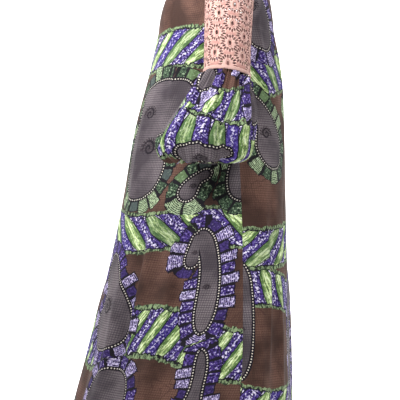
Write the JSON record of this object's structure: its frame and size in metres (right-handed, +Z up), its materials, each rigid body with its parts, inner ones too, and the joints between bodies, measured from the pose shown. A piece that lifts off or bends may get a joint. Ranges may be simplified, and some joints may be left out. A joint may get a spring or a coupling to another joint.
{
  "type": "kaba dress",
  "caption": "Kaba dress, an ankle-length A-line dress of wax print cloth with pink eyelet lace upper sleeves and gathered balloon lower sleeves, worn and filled out",
  "frame": {"origin": "the middle of the neck opening, level with the inside of the cloth on top of the shoulders, where the wearer's shoulders carry the dress", "axes": "+Z up along the wearer, -Y the front of the dress, +X the wearer's left; the hem is at about -1.35 m"},
  "size_m": [0.8482, 0.6193, 1.3517],
  "materials": {
    "wax_print": "matt cotton wax print in brown, grey-mauve, purple and green with white dots",
    "pink_lace": "matt pale pink cotton eyelet lace"
  },
  "bodies": {
    "root": {"front_panel": "wax_print", "back_panel": "wax_print", "lace_sleeve_left_outer": "pink_lace", "lace_sleeve_left_inner": "pink_lace", "lace_sleeve_right_outer": "pink_lace", "lace_sleeve_right_inner": "pink_lace", "puff_sleeve_left": "wax_print", "puff_sleeve_right": "wax_print", "cuff_left": "wax_print", "cuff_right": "wax_print"}
  },
  "joints": []
}
